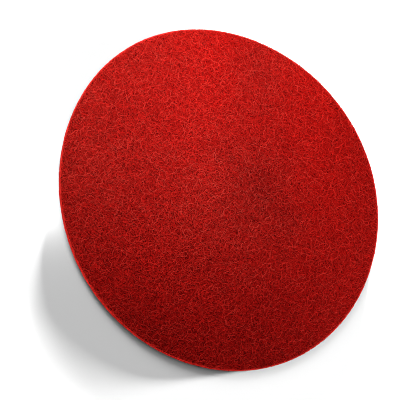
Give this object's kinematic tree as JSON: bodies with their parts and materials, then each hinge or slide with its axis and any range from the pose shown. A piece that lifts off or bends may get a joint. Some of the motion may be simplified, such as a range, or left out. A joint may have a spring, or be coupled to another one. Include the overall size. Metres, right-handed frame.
{
  "type": "floor pad",
  "caption": "Thin round red non-woven fibre floor pad for a rotary floor machine, with a plain cut edge and no centre hole.",
  "frame": {"origin": "centre of the pad's underside", "axes": "+Z along the pad's axis, out of its upper face; the pad is round, so X and Y are any two directions in its plane"},
  "size_m": [0.4318, 0.4318, 0.0063],
  "materials": {
    "red_nonwoven": "matt red crimped fibre web with resin binder, open and pitted"
  },
  "bodies": {
    "root": {"floor_pad": "red_nonwoven"}
  },
  "joints": []
}
